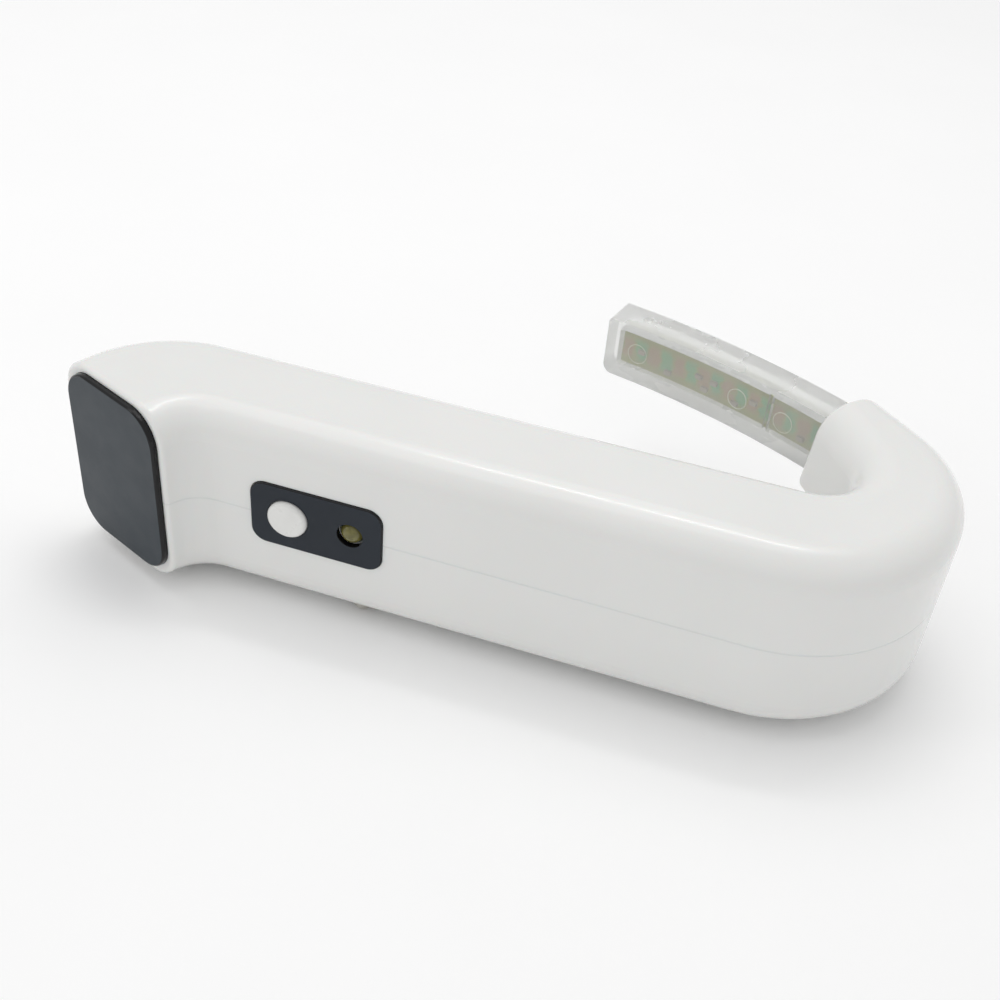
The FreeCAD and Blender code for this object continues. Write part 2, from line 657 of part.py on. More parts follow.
# ---------------------------------------------------------------- main board
board = box("board", ("board_x", "board_y", "board_z"), ("board_length", "board_thick", "board_tall"))
board_holes = [
    rod("board_hole_%d" % n, (x, "board_y - 1", z), "0.6", "4", along="y")
    for n, (x, z) in enumerate([("board_x + 2", "board_z + 2"), ("board_x + 27", "board_z + 16")], 1)
]
piece(cut("main", board, board_holes), "main_board")
back_y = "board_y + board_thick"
chip_blocks = [
    box("controller_chip", ("board_x + 4", back_y, "board_z + 9"), ("7", "0.9", "7")),
    box("charger_chip", ("board_x + 15", back_y, "board_z + 11"), ("5", "0.9", "4")),
    box("driver_chip", ("board_x + 15", back_y, "board_z + 3"), ("3", "0.9", "3")),
]
piece(join("chips", chip_blocks), "board_chips")
small_parts = []
for column in range(5):
    for line in range(2):
        small_parts.append(box(
            "small_part_%d_%d" % (column, line),
            ("board_x + %.1f" % (3.5 + 2.1 * column), back_y, "board_z + %.1f" % (3.0 + 2.4 * line)),
            ("1.6", "0.6", "0.8")))
piece(join("small_parts", small_parts), "board_passives")
coil = rod("coil", ("board_x + 23", back_y, "board_z + 6"), "2.4", "2.6", along="y")
coil_waist = rod("coil_waist", ("board_x + 23", back_y + " + 0.6", "board_z + 6"), "2.9", "1.4", along="y")
piece(join("inductor", [coil, coil_waist]), "driver_inductor")

# ---------------------------------------------------------------- cell
cell_block = box("cell_block", ("cell_x", "cell_y", "cell_z"), ("cell_length", "cell_thick", "cell_tall"))
doc.recompute()
cell_edges = [
    n for n, e in enumerate(cell_block.Shape.Edges, 1)
    if abs(e.Vertexes[0].X - e.Vertexes[-1].X) > 1
]
piece(fillet("cell", cell_block, cell_edges, 1.6), "battery_cell")
piece(box("protection", ("cell_x - 1.1", "cell_y + 1", "cell_z + 2"), ("1", "6", "16")),
      "battery_protection_board")
pads = [
    box("pad_front", ("cell_x + 3", "wall + 1", "cell_z + 3"), ("30", "1.2", "14")),
    box("pad_back", ("cell_x + 3", "cell_y + cell_thick", "cell_z + 3"), ("30", "1.2", "14")),
]
piece(join("pads", pads), "battery_foam_pads")
socket_block = box("socket_block", ("board_x + 21", back_y, "board_z + 13"), ("6", "3.2", "3.8"))
socket_well = box("socket_well", ("board_x + 21.6", back_y + " + 1", "board_z + 13.6"), ("4.8", "3", "2.6"))
piece(cut("socket", socket_block, [socket_well]), "battery_connector_socket")
piece(box("plug", ("board_x + 21.8", back_y + " + 1.4", "board_z + 13.8"), ("4.4", "2.4", "2.2")),
      "battery_connector_plug")


def route(spots):
    """A path of straight runs, with an arc tangent to both runs at each inner spot."""
    edges, start = [], spots[0]
    for before, corner, after in zip(spots, spots[1:], spots[2:]):
        inward = (corner - before).normalize()
        onward = (after - corner).normalize()
        reach = 0.45 * min((corner - before).Length, (after - corner).Length)
        half_turn = inward.getAngle(onward) / 2
        to_centre = (onward - inward).normalize()
        middle = corner + to_centre * (reach / math.sin(half_turn) - reach / math.tan(half_turn))
        first, last = corner - inward * reach, corner + onward * reach
        edges += [Part.makeLine(start, first), Part.Arc(first, middle, last).toShape()]
        start = last
    return Part.Wire(edges + [Part.makeLine(start, spots[-1])])


def sweep(label, spots, section):
    """A closed section carried along the route through the spots."""
    swept = doc.addObject("Part::Feature", label + "_sweep")
    swept.Shape = route(spots).makePipeShell([section], True, False)
    return piece(swept, label)


WIRE_RADIUS = 0.5


def lead(label, points):
    """A round insulated wire, its ends square to the faces that it meets."""
    spots = [DATUM_POINT + Vector(*point) for point in points]
    return sweep(label, spots, Part.Wire(Part.makeCircle(WIRE_RADIUS, spots[0], spots[1] - spots[0])))


plug_back = value(back_y + " + 3.8")
cell_end = value("cell_x - 1.1")
for side, label in ((1, "battery_lead_positive"), (-1, "battery_lead_negative")):
    end_y, end_z = 6.2 - side * 0.6, 19.6 + side * 0.3
    lead(label, [
        (-41.0 + side * 1.1, plug_back, 18.1), (-41.0 + side * 1.1, plug_back + 1.6, 18.1),
        (-40.0 + side, 12.6, 22.4 + side * 0.35), (-38.0 + side, 6.2 - side * 0.4, 22.4 + side * 0.35),
        (-31.6 - side * 0.3, end_y, end_z), (cell_end, end_y, end_z)])

# ---------------------------------------------------------------- charging studs
studs, gaskets = [], []
for n, y in enumerate(STUDS, start=1):
    shank = rod("stud_shank_%d" % n, ("stud_x", y, "stud_radius - stud_reach"), "stud_radius",
                "stud_reach - stud_radius + wall + gasket_thick + flange_thick")
    tip = ball("stud_tip_%d" % n, ("stud_x", y, "stud_radius - stud_reach"), "stud_radius")
    flange = rod("stud_flange_%d" % n, ("stud_x", y, "wall + gasket_thick"), "flange_radius",
                 "flange_thick")
    studs.append(join("stud_%d" % n, [shank, tip, flange]))
    washer = rod("gasket_blank_%d" % n, ("stud_x", y, "wall"), "flange_radius", "gasket_thick")
    bore = rod("gasket_bore_%d" % n, ("stud_x", y, "wall - 1"), "stud_radius", "3")
    gaskets.append(cut("gasket_%d" % n, washer, [bore]))
piece(join("contacts", studs), "charging_contacts")
piece(join("gaskets", gaskets), "charging_contact_seals")
stud_x, front_stud, back_stud = cell("stud_x"), value(STUDS[0]), value(STUDS[1])
flange_top = value("wall + gasket_thick + flange_thick")
board_front, board_back = cell("board_y"), value(back_y)
lead("charging_lead_positive", [
    (stud_x, front_stud, flange_top), (stud_x, front_stud, flange_top + 1.1),
    (stud_x + 0.7, board_front - 1.3, 5.6), (stud_x + 0.7, board_front, 5.6)])
lead("charging_lead_negative", [
    (stud_x, back_stud, flange_top), (stud_x, back_stud, flange_top + 1.1),
    (stud_x - 1.6, board_back + 1.3, 5.6), (stud_x - 1.6, board_back, 5.6)])

# ---------------------------------------------------------------- screen behind the window
screen = centred_box("screen", HEAD_FRAME, 14.0, 19.4, 1.3, out=-4.15)
piece(screen, "display_panel")
screen_board = centred_box("screen_board", HEAD_FRAME, 14.0, 20.0, 0.8, out=-4.95)
piece(screen_board, "display_board")
RIBBON_WIDE, RIBBON_THICK, RIBBON_LOW = 7.0, 0.15, 9.6
leaving = HEAD_FRAME.multVec(Vector(5.2, 0, -4.95))
leaving.z = DATUM_POINT.z + RIBBON_LOW
arriving = DATUM_POINT + Vector(cell("board_x"), cell("board_y") + 0.5, RIBBON_LOW)
ribbon_spots = [leaving, leaving - HEAD_OUT * 1.2, arriving - Vector(1.6, 0, 0), arriving]
sideways = HEAD_ALONG * (RIBBON_THICK / 2)
upwards = Vector(0, 0, RIBBON_WIDE)
sweep("display_ribbon", ribbon_spots, Part.makePolygon([
    leaving - sideways, leaving + sideways, leaving + sideways + upwards,
    leaving - sideways + upwards, leaving - sideways]))

# ---------------------------------------------------------------- clear blade
# the blade bends round its centre, so places along it are angles in degrees
ROOT, TIP = cell("blade_start"), cell("blade_end")
NEAR, FAR = "blade_radius - blade_thick / 2", "blade_radius + blade_thick / 2"
SPLIT = FAR + " - cover_thick"
ROOM = NEAR + " + blade_wall"
END_WALL, RIB_AT, RIB_WIDE = 0.8, 64.0, 0.3


def tip_rounded(name, sector):
    """Soften a bar's four tip edges, the lower one most."""
    doc.recompute()
    centre = DATUM_POINT + Vector(cell("blade_centre_x"), cell("blade_centre_y"), 0)
    picks = []
    for number, edge in enumerate(sector.Shape.Edges, 1):
        ends = [vertex.Point - centre for vertex in edge.Vertexes]
        angles = [math.degrees(math.atan2(end.y, end.x)) for end in ends]
        level = len(ends) == 2 and abs(ends[0].z - ends[1].z) < 0.01
        if level and all(abs(angle - TIP) < 0.01 for angle in angles):
            low = edge.BoundBox.ZMax < DATUM_POINT.z + cell("blade_low") + 1
            radius = cell("blade_round") if low else cell("blade_round") / 3
            picks.append((number, radius, radius))
    soft = doc.addObject("Part::Fillet", name)
    soft.Base = sector
    soft.Edges = picks
    return soft


bar = tip_rounded("housing_bar", blade_sector(
    "housing_blank", NEAR, SPLIT, "blade_low", "blade_high", ROOT, TIP))
room = blade_sector("housing_room", ROOM, "blade_radius + 2", "blade_low + 1.6", "blade_high - 1.6",
                    ROOT - 1, TIP - END_WALL)
rib = blade_sector("housing_rib", "blade_radius - 1.6", "blade_radius - 0.85", "blade_low + 1.5",
                   "blade_high - 1.5", RIB_AT, RIB_AT + RIB_WIDE)
piece(join("housing", [cut("housing_open", bar, [room]), rib]), "blade_housing")
piece(tip_rounded("cover", blade_sector(
    "cover_blank", SPLIT, FAR, "blade_low", "blade_high", ROOT, TIP)), "blade_cover")
piece(blade_sector("strip", "blade_radius - 0.8", "blade_radius", "blade_low + 1.8",
                   "blade_high - 1.8", ROOT - 0.2, TIP - END_WALL - 0.2), "blade_board")
LAMPS, LAMP_PITCH, LAMP_WIDE, FIRST_LAMP = 7, 2.0, 1.1, 61.6
lamps = [
    blade_sector("blade_lamp_%d" % n, "blade_radius", "blade_radius + 0.8", "blade_low + 2.9",
                 "blade_high - 2.9", FIRST_LAMP + LAMP_PITCH * n,
                 FIRST_LAMP + LAMP_PITCH * n + LAMP_WIDE)
    for n in range(LAMPS)
]
piece(join("blade_lamps", lamps), "blade_leds")
resistors = [
    blade_sector("resistor_%d" % n, "blade_radius - 1.3", "blade_radius - 0.8",
                 "blade_low + %.1f" % (2.6 + 1.5 * (n % 2)), "blade_low + %.1f" % (3.2 + 1.5 * (n % 2)),
                 angle, angle + 0.5)
    for n, angle in enumerate((61.2, 65.2, 66.6, 68.4, 69.0, 69.6, 72.0, 74.2))
]
piece(join("resistors", resistors), "blade_resistors")

# the two leads of the blade: through the hollow arm, round the bend, along the back wall
# behind the cell and down to the board
root_radius, root_angle = value("blade_radius - 0.4"), ROOT - 0.2
root = Vector(cell("blade_centre_x"), cell("blade_centre_y"), 0) + polar(root_angle) * root_radius
root_way = polar(root_angle - 90)
hook_centre = Vector(cell("hook_x"), value("casing_depth + hook_radius"), 0)
duct = value("hook_radius + wall + 1.05")
wall_y = value("casing_depth - wall - 0.7")
for height, landing, label in ((20.8, 12.0, "blade_lead_positive"), (18.2, 9.0, "blade_lead_negative")):
    plan = [root, root + root_way * 2.2]
    plan += [hook_centre + polar(azimuth) * duct for azimuth in (20, -15, -50, -78)]
    plan += [Vector(-34.5, wall_y, 0)]
    plan += [Vector(-37.2, board_back + 1.8, 0), Vector(-37.2, board_back, 0)]
    drop = [0, 0, 0, 0, 0, 0, 1, 1, 1]
    lead(label, [
        (spot.x, spot.y, height + (landing - height) * share) for spot, share in zip(plan, drop)])

# ---------------------------------------------------------------- checks and files
doc.recompute()
for thing in doc.Objects:
    if "Invalid" in thing.State or "Error" in thing.State:
        raise RuntimeError("%s did not build: %s" % (thing.Name, thing.State))
os.makedirs("parts", exist_ok=True)
for thing in pieces:
    if thing.Shape.isNull() or not thing.Shape.isValid():
        raise RuntimeError("%s is not a valid solid" % thing.Label)
    thing.Shape.exportStep("parts/%s.step" % thing.Label)
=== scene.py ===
import math

import bmesh
import bpy
from mathutils import Matrix, Vector


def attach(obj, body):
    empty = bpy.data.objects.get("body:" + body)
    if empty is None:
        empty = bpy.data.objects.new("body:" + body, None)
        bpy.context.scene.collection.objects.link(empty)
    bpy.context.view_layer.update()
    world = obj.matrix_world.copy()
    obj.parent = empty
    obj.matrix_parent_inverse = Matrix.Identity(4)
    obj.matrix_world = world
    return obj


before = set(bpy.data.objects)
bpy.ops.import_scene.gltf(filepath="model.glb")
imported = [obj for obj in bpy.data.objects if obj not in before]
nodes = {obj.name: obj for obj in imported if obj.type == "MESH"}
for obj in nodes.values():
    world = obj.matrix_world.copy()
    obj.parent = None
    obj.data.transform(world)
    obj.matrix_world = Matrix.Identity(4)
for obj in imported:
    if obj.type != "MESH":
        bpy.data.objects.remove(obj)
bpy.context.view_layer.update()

# ---------------------------------------------------------------- sizes, in metres

SEAM_HEIGHT = 0.0147          # where the two shells of the casing meet
SEAM_WIDTH = 0.00016          # the hairline between them
BLADE_CENTRE = Vector((-0.0209, -0.08875, 0.0))   # the blade bends about this upright line
BLADE_FACE_RADIUS = 0.1143    # its face towards the handle
BLADE_MIDDLE_HEIGHT = 0.02095
BLADE_JOINT_RADIUS = 0.1184   # where its housing and its cover are welded
BLADE_ROOM_HALF = 0.00275     # half the height of the room inside it
BLADE_ROOM_END = 76.2         # the angle, in degrees, where that room ends
BLADE_JOINT_REACH = 0.00015   # how far a face may be from the weld and still belong to it
BOARD_BAND = 2.0              # degrees from one green band of the blade's board to the next


# ---------------------------------------------------------------- material helpers

class Finish:
    """A Principled material, with the few node patterns that this object needs."""

    def __init__(self, name, colour, rough, metal=0.0, coat=0.0, ior=1.5):
        self.material = bpy.data.materials.new(name)
        self.material.use_nodes = True
        self.tree = self.material.node_tree
        self.shader = self.tree.nodes["Principled BSDF"]
        self.shader.inputs["Base Color"].default_value = (*colour, 1.0)
        self.shader.inputs["Roughness"].default_value = rough
        self.shader.inputs["Metallic"].default_value = metal
        self.shader.inputs["Coat Weight"].default_value = coat
        self.shader.inputs["IOR"].default_value = ior
        coordinates = self.tree.nodes.new("ShaderNodeTexCoord")
        self.place = coordinates.outputs["Object"]
        self.normal = coordinates.outputs["Normal"]

    def link(self, source, node, socket):
        """Feed one input of a node from a socket."""
        self.tree.links.new(source, node.inputs[socket])

    def maths(self, operation, first, second=None):
        """A sum of one or two terms, each a number or a socket."""
        node = self.tree.nodes.new("ShaderNodeMath")
        node.operation = operation
        for index, term in enumerate((first, second)):
            if term is None:
                continue
            if isinstance(term, (int, float)):
                node.inputs[index].default_value = term
            else:
                self.link(term, node, index)
        return node.outputs["Value"]

    def vector(self, operation, first, second=None):
        """A node for a sum of one or two vectors, each a tuple or a socket."""
        node = self.tree.nodes.new("ShaderNodeVectorMath")
        node.operation = operation
        for index, term in enumerate((first, second)):
            if term is None:
                continue
            if isinstance(term, bpy.types.NodeSocket):
                self.link(term, node, index)
            else:
                node.inputs[index].default_value = term
        return node

    def noise(self, pitch, detail=3.0, stretch=(1.0, 1.0, 1.0)):
        """Noise whose features are about one pitch across."""
        scaling = self.tree.nodes.new("ShaderNodeMapping")
        scaling.inputs["Scale"].default_value = stretch
        self.link(self.place, scaling, "Vector")
        node = self.tree.nodes.new("ShaderNodeTexNoise")
        node.inputs["Scale"].default_value = 1.0 / pitch
        node.inputs["Detail"].default_value = detail
        node.inputs["Roughness"].default_value = 0.55
        self.link(scaling.outputs["Vector"], node, "Vector")
        return node.outputs["Fac"]

    def spread(self, source, low, high, start=0.35, end=0.65):
        """The source, from start to end, carried onto low to high."""
        node = self.tree.nodes.new("ShaderNodeMapRange")
        node.inputs["From Min"].default_value = start
        node.inputs["From Max"].default_value = end
        node.inputs["To Min"].default_value = low
        node.inputs["To Max"].default_value = high
        self.link(source, node, "Value")
        return node.outputs["Result"]

    def blend(self, factor, first, second):
        """A colour between two, each a tuple or a colour socket."""
        node = self.tree.nodes.new("ShaderNodeMix")
        node.data_type = "RGBA"
        self.link(factor, node, 0)
        for socket, colour in (("A", first), ("B", second)):
            target = [s for s in node.inputs if s.name == socket and s.type == "RGBA"][0]
            if isinstance(colour, tuple):
                target.default_value = (*colour, 1.0)
            else:
                self.tree.links.new(colour, target)
        return [s for s in node.outputs if s.type == "RGBA"][0]

    def colour(self, source):
        """Take the base colour from a socket."""
        self.link(source, self.shader, "Base Color")

    def roughness(self, source):
        """Take the roughness from a socket."""
        self.link(source, self.shader, "Roughness")

    def relief(self, height, depth):
        """Raise the surface by a height from 0 to 1 over a depth in metres."""
        node = self.tree.nodes.new("ShaderNodeBump")
        node.inputs["Strength"].default_value = 1.0
        node.inputs["Distance"].default_value = depth
        self.link(height, node, "Height")
        self.link(node.outputs["Normal"], self.shader, "Normal")

    def axis(self, name):
        """One coordinate of the surface point, in metres."""
        node = self.tree.nodes.new("ShaderNodeSeparateXYZ")
        self.link(self.place, node, "Vector")
        return node.outputs[name]

    def facing(self, direction):
        """How squarely the surface faces one way, from -1 to 1."""
        return self.vector("DOT_PRODUCT", self.normal, direction).outputs["Value"]

    def worn(self, low, high, pitch, depth, grain):
        """Uneven gloss and a fine surface: what every moulded or printed piece has."""
        self.roughness(self.spread(self.noise(pitch), low, high))
        self.relief(self.noise(grain, detail=2.0), depth)
        return self


def mottled(name, light, dark, rough, pitch=0.004, grain=0.0004, depth=0.00002, **more):
    """A finish whose colour drifts a little between two close tones."""
    finish = Finish(name, light, rough, **more)
    finish.colour(finish.blend(finish.spread(finish.noise(pitch), 0.0, 1.0), light, dark))
    return finish.worn(rough * 0.8, min(1.0, rough * 1.25), pitch * 0.7, depth, grain)


def dress(material, *names):
    """Give the named CAD nodes one material."""
    for name in names:
        for slot in nodes[name].material_slots:
            slot.material = material


# ---------------------------------------------------------------- the casing

def shell_finish():
    """Glossy white moulded plastic, with the hairline where the shells meet: a real groove in the bump,
    and painted shade that darkens the colour along it.
    """
    finish = Finish("white_shell", (0.80, 0.80, 0.785), 0.22, coat=0.25, ior=1.49)
    drift = finish.spread(finish.noise(0.02), 0.0, 1.0)
    body = finish.blend(drift, (0.806, 0.806, 0.790), (0.788, 0.790, 0.773))
    from_seam = finish.maths("ABSOLUTE", finish.maths("SUBTRACT", finish.axis("Z"), SEAM_HEIGHT))
    seam_groove_and_shade = finish.spread(from_seam, 1.0, 0.0, SEAM_WIDTH * 0.3, SEAM_WIDTH)
    # painted shade: along the hairline the white is darkened towards grey, standing in for the shade
    # inside the gap between the shells
    finish.colour(finish.blend(finish.maths("MULTIPLY", seam_groove_and_shade, 0.18), body, (0.5, 0.5, 0.49)))
    finish.roughness(finish.spread(finish.noise(0.006), 0.17, 0.27))
    skin = finish.maths("MULTIPLY", finish.noise(0.0016, detail=1.0), 0.10)
    finish.relief(finish.maths("SUBTRACT", skin, finish.maths("MULTIPLY", seam_groove_and_shade, 0.4)), 0.00006)
    finish.shader.inputs["Coat Roughness"].default_value = 0.12
    finish.shader.inputs["Subsurface Weight"].default_value = 0.08
    finish.shader.inputs["Subsurface Scale"].default_value = 0.0012
    return finish.material


HEAD_OUT = (-0.40035, -0.91636, 0.0)   # the way the end window faces
FRONT_OUT = (0.0, -1.0, 0.0)            # the way the control panel faces


def panel_finish(name, outward, light, dark):
    """Smoked polycarbonate: a satin face, with a black polished bevel and sides."""
    finish = Finish(name, light, 0.3, ior=1.37)
    face = finish.spread(finish.facing(outward), 0.0, 1.0, 0.93, 0.985)
    drift = finish.spread(finish.noise(0.012), 0.0, 1.0)
    finish.colour(finish.blend(face, (0.006, 0.006, 0.007), finish.blend(drift, light, dark)))
    satin = finish.spread(finish.noise(0.003), 0.33, 0.39)
    finish.roughness(finish.maths("ADD", finish.maths("MULTIPLY", face, satin),
                                  finish.spread(face, 0.12, 0.0, 0.0, 1.0)))
    finish.relief(finish.noise(0.00025, detail=2.0), 0.000002)
    return finish.material


dress(shell_finish(), "upper_shell", "lower_shell")
dress(
    panel_finish("tinted_window", HEAD_OUT, (0.016, 0.026, 0.036), (0.013, 0.022, 0.031)),
    "end_window",
)
dress(
    panel_finish("tinted_panel", FRONT_OUT, (0.010, 0.016, 0.026), (0.008, 0.013, 0.021)),
    "control_panel",
)
dress(
    mottled("white_button", (0.80, 0.80, 0.78), (0.77, 0.77, 0.75), 0.3, coat=0.2).material,
    "power_button",
)
dress(
    mottled("black_plastic", (0.022, 0.022, 0.024), (0.03, 0.03, 0.03), 0.45).material,
    "tact_switch_stem", "tact_switch_body", "board_chips", "battery_connector_socket",
)
dress(
    mottled("connector_plastic", (0.78, 0.76, 0.70), (0.72, 0.70, 0.64), 0.45).material,
    "battery_connector_plug",
)


def resin_finish():
    """The lamp's body: tinted resin, cloudy under a smooth dome."""
    finish = Finish("led_resin", (0.20, 0.18, 0.05), 0.2, ior=1.53)
    finish.shader.inputs["Transmission Weight"].default_value = 0.2
    drift = finish.spread(finish.noise(0.0009), 0.0, 1.0)
    finish.colour(finish.blend(drift, (0.22, 0.20, 0.055), (0.14, 0.13, 0.035)))
    return finish.worn(0.14, 0.26, 0.001, 0.00001, 0.0004).material


def blade_places(finish):
    """A point's angle round the blade's centre and its height from the blade's middle."""
    across = finish.maths("SUBTRACT", finish.axis("X"), BLADE_CENTRE.x)
    along = finish.maths("SUBTRACT", finish.axis("Y"), BLADE_CENTRE.y)
    level = finish.maths("SUBTRACT", finish.axis("Z"), BLADE_MIDDLE_HEIGHT)
    return finish.maths("ARCTAN2", along, across), level


def blade_weld(finish, flat, polished):
    """One on the long faces where the housing and the cover meet, and zero elsewhere."""
    radius = finish.vector("LENGTH", flat).outputs["Value"]
    beside = finish.maths("ABSOLUTE", finish.maths("SUBTRACT", radius, BLADE_JOINT_RADIUS))
    angle, level = blade_places(finish)
    wall = finish.maths("GREATER_THAN", finish.maths("ABSOLUTE", level), BLADE_ROOM_HALF)
    tip = finish.maths("GREATER_THAN", angle, math.radians(BLADE_ROOM_END))
    rim = finish.maths("MULTIPLY", finish.maths("MAXIMUM", wall, tip), polished)
    return finish.maths("MULTIPLY", finish.maths("LESS_THAN", beside, BLADE_JOINT_REACH), rim)


def clear_finish():
    """Moulded polycarbonate: polished long faces, cloudy sides, and a weld that lets light through."""
    finish = Finish("clear_plastic", (0.985, 0.99, 0.98), 0.2, ior=1.38)
    outward = finish.vector("SUBTRACT", finish.place, BLADE_CENTRE).outputs["Vector"]
    flat = finish.vector("MULTIPLY", outward, (1.0, 1.0, 0.0)).outputs["Vector"]
    unit = finish.vector("NORMALIZE", flat).outputs["Vector"]
    polished = finish.spread(finish.maths("ABSOLUTE", finish.facing(unit)), 0.0, 1.0, 0.80, 0.97)
    weld = blade_weld(finish, flat, polished)
    finish.link(finish.maths("SUBTRACT", 1.0, weld), finish.shader, "Alpha")
    cloud = finish.spread(finish.noise(0.008), -0.02, 0.02)
    clear = finish.maths("ADD", finish.spread(polished, 0.54, 0.78, 0.0, 1.0), cloud)
    finish.link(clear, finish.shader, "Transmission Weight")
    finish.roughness(finish.maths("SUBTRACT", finish.spread(polished, 0.28, 0.13, 0.0, 1.0), cloud))
    finish.relief(finish.noise(0.003, detail=1.0), 0.000004)
    return finish.material


dress(resin_finish(), "indicator_led")
dress(clear_finish(), "blade_housing", "blade_cover")


# ---------------------------------------------------------------- metal

def metal_finish(name, colour, rough, pitch=0.0003):
    """Turned or drawn metal, with fine marks along one way."""
    finish = Finish(name, colour, rough, metal=1.0)
    marks = finish.noise(pitch, detail=4.0, stretch=(1.0, 1.0, 0.2))
    finish.roughness(finish.spread(marks, rough * 0.7, min(1.0, rough * 1.5)))
    finish.relief(marks, 0.00001)
    tone = finish.spread(finish.noise(0.002), 0.0, 1.0)
    finish.colour(finish.blend(tone, colour, tuple(part * 0.88 for part in colour)))
    return finish.material


dress(metal_finish("steel", (0.55, 0.55, 0.56), 0.28), "case_screws")
dress(metal_finish("tinned_wire", (0.66, 0.66, 0.66), 0.3), "indicator_led_legs")
dress(metal_finish("nickel", (0.62, 0.60, 0.56), 0.22), "charging_contacts")
dress(metal_finish("cell_pouch", (0.60, 0.61, 0.63), 0.42, 0.0012), "battery_cell")


# ---------------------------------------------------------------- boards, leads and small pieces

def board_finish(name, light, dark):
    """Solder mask over copper tracks, which show as slightly raised straight runs."""
    finish = Finish(name, light, 0.3, coat=0.3)
    tracks = finish.noise(0.0011, detail=1.0, stretch=(1.0, 0.25, 1.0))
    raised = finish.spread(tracks, 0.0, 1.0, 0.5, 0.54)
    finish.colour(finish.blend(raised, dark, light))
    finish.roughness(finish.spread(finish.noise(0.002), 0.25, 0.4))
    finish.relief(raised, 0.00003)
    return finish.material


dress(board_finish("circuit_board", (0.035, 0.16, 0.07), (0.02, 0.10, 0.045)),
      "main_board", "battery_protection_board", "display_board")
dress(mottled("ceramic_part", (0.55, 0.47, 0.36), (0.46, 0.38, 0.28), 0.4).material,
      "board_passives", "blade_resistors")
dress(mottled("ferrite", (0.05, 0.05, 0.055), (0.08, 0.08, 0.085), 0.6).material, "driver_inductor")
dress(mottled("foam", (0.10, 0.10, 0.11), (0.05, 0.05, 0.055), 0.9, 0.0008, 0.0003, 0.0001).material,
      "battery_foam_pads")
dress(mottled("adhesive_film", (0.10, 0.10, 0.10), (0.07, 0.07, 0.07), 0.5).material,
      "end_window_tape", "control_panel_tape")
dress(mottled("silicone", (0.10, 0.10, 0.10), (0.06, 0.06, 0.06), 0.6).material,
      "charging_contact_seals")
dress(mottled("screen_glass", (0.018, 0.02, 0.024), (0.024, 0.026, 0.03), 0.1, coat=0.4).material,
      "display_panel")
dress(mottled("flex_film", (0.50, 0.26, 0.06), (0.42, 0.20, 0.045), 0.35, coat=0.2).material,
      "display_ribbon")
dress(mottled("red_wire", (0.52, 0.03, 0.025), (0.44, 0.02, 0.02), 0.38).material,
      "battery_lead_positive", "charging_lead_positive", "blade_lead_positive")
dress(mottled("black_wire", (0.03, 0.03, 0.032), (0.02, 0.02, 0.022), 0.38).material,
      "battery_lead_negative", "charging_lead_negative", "blade_lead_negative")
dress(mottled("led_chip", (0.78, 0.72, 0.38), (0.70, 0.62, 0.28), 0.35, coat=0.3).material,
      "blade_leds")


def blade_board_finish():
    """Olive board: green mask and bare copper take turns along the blade."""
    finish = Finish("circuit_board_blade", (0.25, 0.24, 0.10), 0.35, coat=0.2)
    angle, level = blade_places(finish)
    turns = finish.maths("MULTIPLY", angle, 2.0 * math.pi / math.radians(BOARD_BAND))
    wave = finish.maths("SINE", turns)
    ragged = finish.maths("ADD", wave, finish.spread(finish.noise(0.0012), -1.0, 1.0, 0.2, 0.8))
    inside = finish.spread(finish.maths("ABSOLUTE", level), 1.0, 0.0, 0.0010, 0.0020)
    green = finish.maths("MULTIPLY", finish.spread(ragged, 0.0, 1.0, 0.1, 0.6), inside)
    copper = finish.maths("MULTIPLY", finish.spread(ragged, 1.0, 0.0, -0.6, -0.1), inside)
    mask = finish.blend(green, (0.42, 0.43, 0.09), (0.16, 0.54, 0.18))
    finish.colour(finish.blend(copper, mask, (0.54, 0.35, 0.15)))
    finish.roughness(finish.spread(finish.noise(0.001), 0.3, 0.5))
    finish.relief(finish.spread(ragged, 0.0, 1.0, -0.2, 0.2), 0.00003)
    return finish.material


dress(blade_board_finish(), "blade_board")


# ---------------------------------------------------------------- small visual pieces on the blade

def blade_point(angle, height, lift):
    """A point on the blade's face towards the handle, lifted off it by a distance."""
    radius = BLADE_FACE_RADIUS - lift
    turned = math.radians(angle)
    return BLADE_CENTRE + Vector((radius * math.cos(turned), radius * math.sin(turned), height))


def mesh_piece(name, geometry, material):
    """A smooth piece from bmesh geometry, riding on the housing."""
    mesh = bpy.data.meshes.new(name)
    geometry.to_mesh(mesh)
    geometry.free()
    mesh.materials.append(material)
    piece = bpy.data.objects.new(name, mesh)
    bpy.context.scene.collection.objects.link(piece)
    for face in mesh.polygons:
        face.use_smooth = True
    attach(piece, "housing")
    return piece


RING_ANGLES = (74.5, 66.4, 62.7)   # where the rings stand along the blade, in degrees
RING_RADIUS = 0.00145
RING_WIRE = 0.00005                # half the width of a ring's raised line
RING_RISE = 0.0003                 # how far above the blade's middle they stand
RING_STEPS = 48
WIRE_STEPS = 8


def ring(geometry, angle, height):
    """A thin raised circle, wrapped onto the blade's curved face."""
    rows = []
    for step in range(RING_STEPS):
        around = 2.0 * math.pi * step / RING_STEPS
        row = []
        for turn in range(WIRE_STEPS):
            section = 2.0 * math.pi * turn / WIRE_STEPS
            reach = RING_RADIUS + RING_WIRE * math.cos(section)
            shift = math.degrees(reach * math.cos(around) / BLADE_FACE_RADIUS)
            point = blade_point(angle + shift, height + reach * math.sin(around),
                                RING_WIRE * math.sin(section))
            row.append(geometry.verts.new(point))
        rows.append(row)
    for step, row in enumerate(rows):
        beside = rows[(step + 1) % RING_STEPS]
        for turn, corner in enumerate(row):
            after = (turn + 1) % WIRE_STEPS
            geometry.faces.new((corner, beside[turn], beside[after], row[after]))


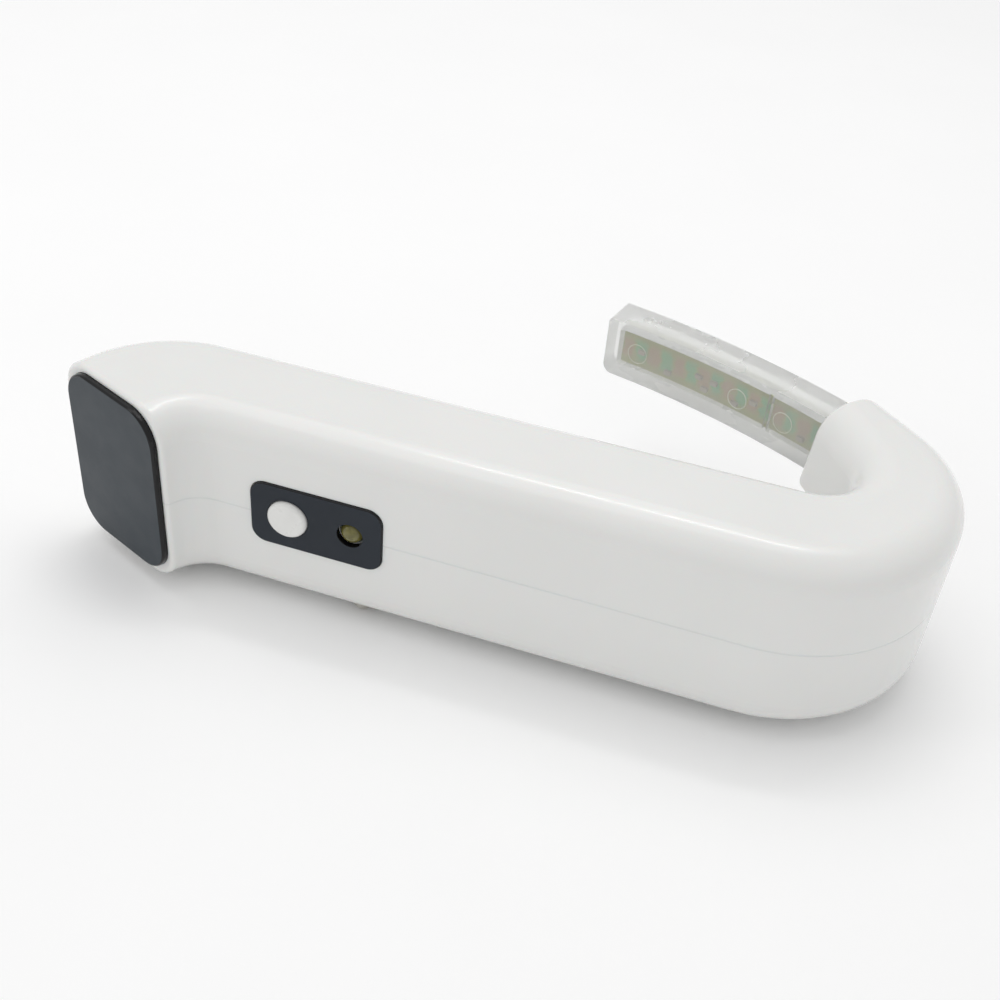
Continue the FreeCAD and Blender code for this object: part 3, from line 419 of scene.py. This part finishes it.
marks = bmesh.new()
for ring_angle in RING_ANGLES:
    ring(marks, ring_angle, BLADE_MIDDLE_HEIGHT + RING_RISE)
bmesh.ops.recalc_face_normals(marks, faces=marks.faces)
mesh_piece("blade_ejector_rings", marks,
           mottled("clear_plastic_mark", (0.70, 0.72, 0.62), (0.62, 0.64, 0.55), 0.25).material)


# ---------------------------------------------------------------- floor, light and camera

def floor_finish():
    """Matt pale paper, a little uneven."""
    finish = Finish("floor", (0.97, 0.97, 0.97), 0.8)
    tone = finish.spread(finish.noise(0.05), 0.0, 1.0)
    finish.colour(finish.blend(tone, (0.975, 0.975, 0.975), (0.965, 0.965, 0.965)))
    return finish.material


def floor():
    """The plain surface that the lamp lies on."""
    half = 3.0
    mesh = bpy.data.meshes.new("floor")
    corners = [(-half, -half, 0.0), (half, -half, 0.0), (half, half, 0.0), (-half, half, 0.0)]
    mesh.from_pydata(corners, [], [(0, 1, 2, 3)])
    mesh.materials.append(floor_finish())
    plane = bpy.data.objects.new("floor", mesh)
    bpy.context.scene.collection.objects.link(plane)


def soft_box(name, place, target, width, height, power):
    """A rectangular studio lamp that points from its place at a target."""
    lamp = bpy.data.lights.new(name, "AREA")
    lamp.shape = "RECTANGLE"
    lamp.size = width
    lamp.size_y = height
    lamp.energy = power
    holder = bpy.data.objects.new(name, lamp)
    bpy.context.scene.collection.objects.link(holder)
    holder.location = place
    holder.rotation_euler = (Vector(target) - Vector(place)).to_track_quat("-Z", "Y").to_euler()


SENSOR, LENS = 36.0, 46.457                       # millimetres
YAW, PITCH, ROLL = 14.631, 38.031, -5.622         # degrees
CAMERA_PLACE = (0.032647, -0.135011, 0.115774)


def camera():
    """The photograph's view: about 38 degrees down and 15 degrees from the front, tilted a little."""
    lens = bpy.data.cameras.new("camera")
    lens.sensor_width = SENSOR
    lens.lens = LENS
    lens.clip_start = 0.01
    holder = bpy.data.objects.new("camera", lens)
    bpy.context.scene.collection.objects.link(holder)
    yaw, pitch, roll = math.radians(YAW), math.radians(PITCH), math.radians(ROLL)
    ahead = Vector((-math.sin(yaw) * math.cos(pitch), math.cos(yaw) * math.cos(pitch), -math.sin(pitch)))
    level = Vector((math.cos(yaw), math.sin(yaw), 0.0))
    upright = level.cross(ahead)
    right = math.cos(roll) * level - math.sin(roll) * upright
    up = math.sin(roll) * level + math.cos(roll) * upright
    turn = Matrix((right, up, -ahead)).transposed()
    holder.matrix_world = Matrix.Translation(CAMERA_PLACE) @ turn.to_4x4()
    bpy.context.scene.camera = holder


def sky():
    """Even white light from all round."""
    world = bpy.data.worlds.new("studio")
    world.use_nodes = True
    world.node_tree.nodes["Background"].inputs["Color"].default_value = (1.0, 1.0, 1.0, 1.0)
    world.node_tree.nodes["Background"].inputs["Strength"].default_value = 0.68
    bpy.context.scene.world = world


floor()
sky()
bpy.context.scene.view_settings.view_transform = "Standard"
middle = (0.0, 0.0, 0.0)
soft_box("over", (-0.10, 0.10, 0.62), middle, 0.7, 0.5, 1.15)
soft_box("strip", (-0.02, 0.16, 0.60), middle, 0.30, 0.04, 0.30)
soft_box("left", (-0.45, -0.25, 0.30), middle, 0.12, 0.4, 0.2)
camera()
